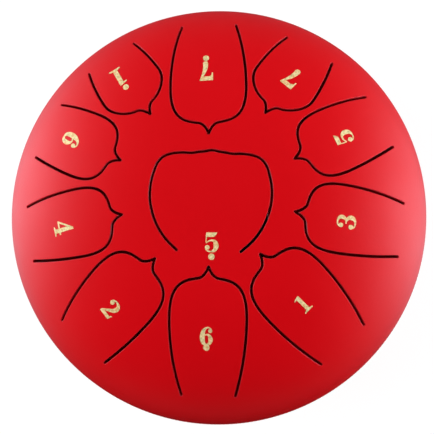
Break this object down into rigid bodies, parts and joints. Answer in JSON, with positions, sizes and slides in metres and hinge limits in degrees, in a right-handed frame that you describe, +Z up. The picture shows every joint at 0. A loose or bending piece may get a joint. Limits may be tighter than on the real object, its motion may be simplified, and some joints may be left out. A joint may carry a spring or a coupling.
{
  "type": "steel tongue drum",
  "caption": "Round domed steel tongue drum: petal-tipped tongues cut in the upper shell, foil numerals, a welded rim, a lipped sound hole and screwed rubber feet.",
  "frame": {"origin": "on the floor plane under the middle of the drum, at the bottom of the feet", "axes": "+Z up out of the dome; +Y away from the player, so that the middle tongue's numeral stands upright; +X to the player's right"},
  "size_m": [0.2548, 0.2548, 0.13],
  "materials": {
    "red_paint": "satin baked enamel with a fine orange-peel texture",
    "red_paint_base": "satin baked enamel",
    "gold_foil": "pale gold foil sticker, soft metallic sheen",
    "rubber": "matt black moulded rubber",
    "zinc_steel": "zinc-plated steel"
  },
  "bodies": {
    "drum": {"top_shell": "red_paint", "bottom_shell": "red_paint_base", "rim_weld": "red_paint_base", "foot_1": "rubber", "foot_2": "rubber", "foot_3": "rubber", "foot_screws": "zinc_steel", "foot_washers": "zinc_steel", "foot_nuts": "zinc_steel", "numeral_low_5_dot": "gold_foil"},
    "note_low_6": {"tongue_low_6": "red_paint", "numeral_low_6": "gold_foil"},
    "note_low_7": {"tongue_low_7": "red_paint", "numeral_low_7": "gold_foil"},
    "note_1": {"tongue_1": "red_paint", "numeral_1": "gold_foil"},
    "note_2": {"tongue_2": "red_paint", "numeral_2": "gold_foil"},
    "note_3": {"tongue_3": "red_paint", "numeral_3": "gold_foil"},
    "note_4": {"tongue_4": "red_paint", "numeral_4": "gold_foil"},
    "note_5": {"tongue_5": "red_paint", "numeral_5": "gold_foil"},
    "note_6": {"tongue_6": "red_paint", "numeral_6": "gold_foil"},
    "note_7": {"tongue_7": "red_paint", "numeral_7": "gold_foil"},
    "note_high_1": {"tongue_high_1": "red_paint", "numeral_high_1": "gold_foil"},
    "note_low_5": {"tongue_low_5": "red_paint", "numeral_low_5": "gold_foil"}
  },
  "joints": [
    {"name": "note_low_6_flex", "type": "hinge", "parent": "drum", "child": "note_low_6", "pos_m": [-0.00306, -0.10944, 0.10074], "axis": [-0.9996, 0.0279, 0], "range_deg": [-0.476, 0.476], "stiffness_Nm_per_rad": 7.88},
    {"name": "note_low_7_flex", "type": "hinge", "parent": "drum", "child": "note_low_7", "pos_m": [-0.00286, 0.10937, 0.10081], "axis": [0.9997, 0.0262, 0], "range_deg": [-0.49, 0.49], "stiffness_Nm_per_rad": 7.29},
    {"name": "note_1_flex", "type": "hinge", "parent": "drum", "child": "note_1", "pos_m": [0.07427, -0.08021, 0.10089], "axis": [-0.7337, -0.6794, 0], "range_deg": [-0.51, 0.51], "stiffness_Nm_per_rad": 6.74},
    {"name": "note_2_flex", "type": "hinge", "parent": "drum", "child": "note_2", "pos_m": [-0.07623, -0.07812, 0.10103], "axis": [-0.7157, 0.6984, 0], "range_deg": [-0.54, 0.54], "stiffness_Nm_per_rad": 5.7},
    {"name": "note_3_flex", "type": "hinge", "parent": "drum", "child": "note_3", "pos_m": [0.10857, -0.0141, 0.10074], "axis": [-0.1288, -0.9917, 0], "range_deg": [-0.56, 0.56], "stiffness_Nm_per_rad": 4.42},
    {"name": "note_4_flex", "type": "hinge", "parent": "drum", "child": "note_4", "pos_m": [-0.10837, -0.01485, 0.10083], "axis": [-0.1357, 0.9907, 0], "range_deg": [-0.59, 0.59], "stiffness_Nm_per_rad": 3.82},
    {"name": "note_5_flex", "type": "hinge", "parent": "drum", "child": "note_5", "pos_m": [0.09731, 0.0498, 0.10089], "axis": [0.4555, -0.8902, 0], "range_deg": [-0.62, 0.62], "stiffness_Nm_per_rad": 3.37},
    {"name": "note_6_flex", "type": "hinge", "parent": "drum", "child": "note_6", "pos_m": [-0.09864, 0.04684, 0.10099], "axis": [0.4289, 0.9033, 0], "range_deg": [-0.67, 0.67], "stiffness_Nm_per_rad": 2.66},
    {"name": "note_7_flex", "type": "hinge", "parent": "drum", "child": "note_7", "pos_m": [0.05688, 0.09356, 0.10074], "axis": [0.8545, -0.5195, 0], "range_deg": [-0.7, 0.7], "stiffness_Nm_per_rad": 2.16},
    {"name": "note_high_1_flex", "type": "hinge", "parent": "drum", "child": "note_high_1", "pos_m": [-0.0615, 0.09049, 0.10081], "axis": [0.8271, 0.5621, 0], "range_deg": [-0.73, 0.73], "stiffness_Nm_per_rad": 1.88},
    {"name": "note_low_5_flex", "type": "hinge", "parent": "drum", "child": "note_low_5", "pos_m": [-0.00098, -0.02818, 0.12807], "axis": [-0.9994, 0.0349, 0], "range_deg": [-0.6, 0.6], "stiffness_Nm_per_rad": 6.18}
  ]
}
